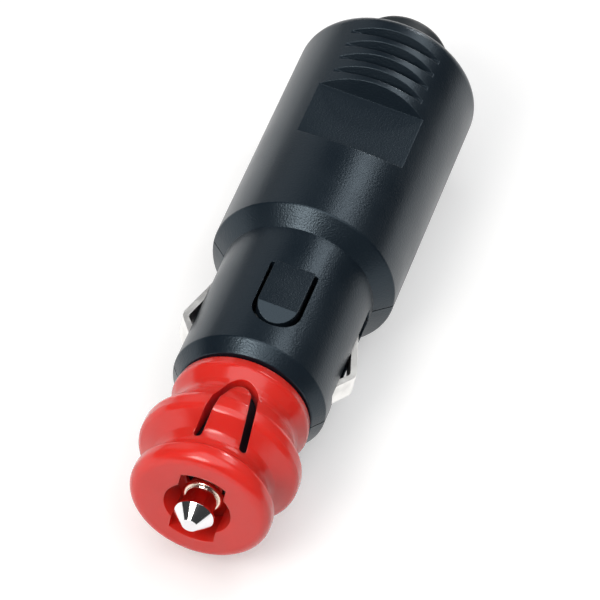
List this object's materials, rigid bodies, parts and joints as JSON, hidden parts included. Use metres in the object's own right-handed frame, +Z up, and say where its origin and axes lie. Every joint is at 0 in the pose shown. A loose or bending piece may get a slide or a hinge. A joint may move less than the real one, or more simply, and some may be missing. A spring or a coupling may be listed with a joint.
{
  "type": "cigarette lighter plug",
  "caption": "Plug for a vehicle's lighter socket: ribbed handle, stepped barrel with sprung side contacts, pull-off flanged adapter sleeve and sprung centre tip.",
  "frame": {"origin": "on the plug's axis, in the plane where the handle's cylinder meets the shoulder that stops at the socket's rim", "axes": "+Y along the axis from the tip to the cable end, +Z up and square to the plane where the half shells part, +X to the right seen from the tip"},
  "size_m": [0.0254, 0.0921, 0.0254],
  "materials": {
    "black_plastic": "satin moulded grain",
    "red_plastic": "gloss moulded",
    "chrome_plate": "mirror plated",
    "nickel_plate": "bright nickel plated",
    "brass": "bright turned",
    "clear_glass": "clear",
    "spring_steel": "drawn",
    "boot_rubber": "matt"
  },
  "bodies": {
    "housing": {"housing_top": "black_plastic", "housing_bottom": "black_plastic", "contact_spring": "spring_steel", "positive_terminal": "brass", "positive_terminal_screw": "spring_steel", "negative_bridge": "brass", "negative_terminal_screw": "spring_steel", "cable_boot": "boot_rubber", "cable_clamp": "black_plastic", "cable_clamp_screws": "spring_steel", "housing_screws": "spring_steel"},
    "plunger": {"contact_tip": "chrome_plate", "tip_collar": "brass", "fuse_front_cap": "nickel_plate", "fuse_rear_cap": "nickel_plate", "fuse_glass": "clear_glass", "fuse_wire": "spring_steel"},
    "adapter": {"adapter_sleeve": "red_plastic"},
    "left_contact": {"left_side_contact": "nickel_plate"},
    "right_contact": {"right_side_contact": "nickel_plate"}
  },
  "joints": [
    {"name": "tip_press", "type": "slide", "parent": "housing", "child": "plunger", "axis": [0, 1, 0], "range_m": [0, 0.003], "stiffness_N_per_m": 900, "springref_m": -0.002, "deforming": ["contact_spring"]},
    {"name": "adapter_pull", "type": "slide", "parent": "housing", "child": "adapter", "axis": [0, -1, 0], "range_m": [0, 0.022]},
    {"name": "left_contact_flex", "type": "hinge", "parent": "housing", "child": "left_contact", "pos_m": [-0.0078, -0.0016, 0], "axis": [0, 0, 1], "range_deg": [0, 7.5], "stiffness_Nm_per_rad": 0.3},
    {"name": "right_contact_flex", "type": "hinge", "parent": "housing", "child": "right_contact", "pos_m": [0.0078, -0.0016, 0], "axis": [0, 0, -1], "range_deg": [0, 7.5], "stiffness_Nm_per_rad": 0.3}
  ]
}
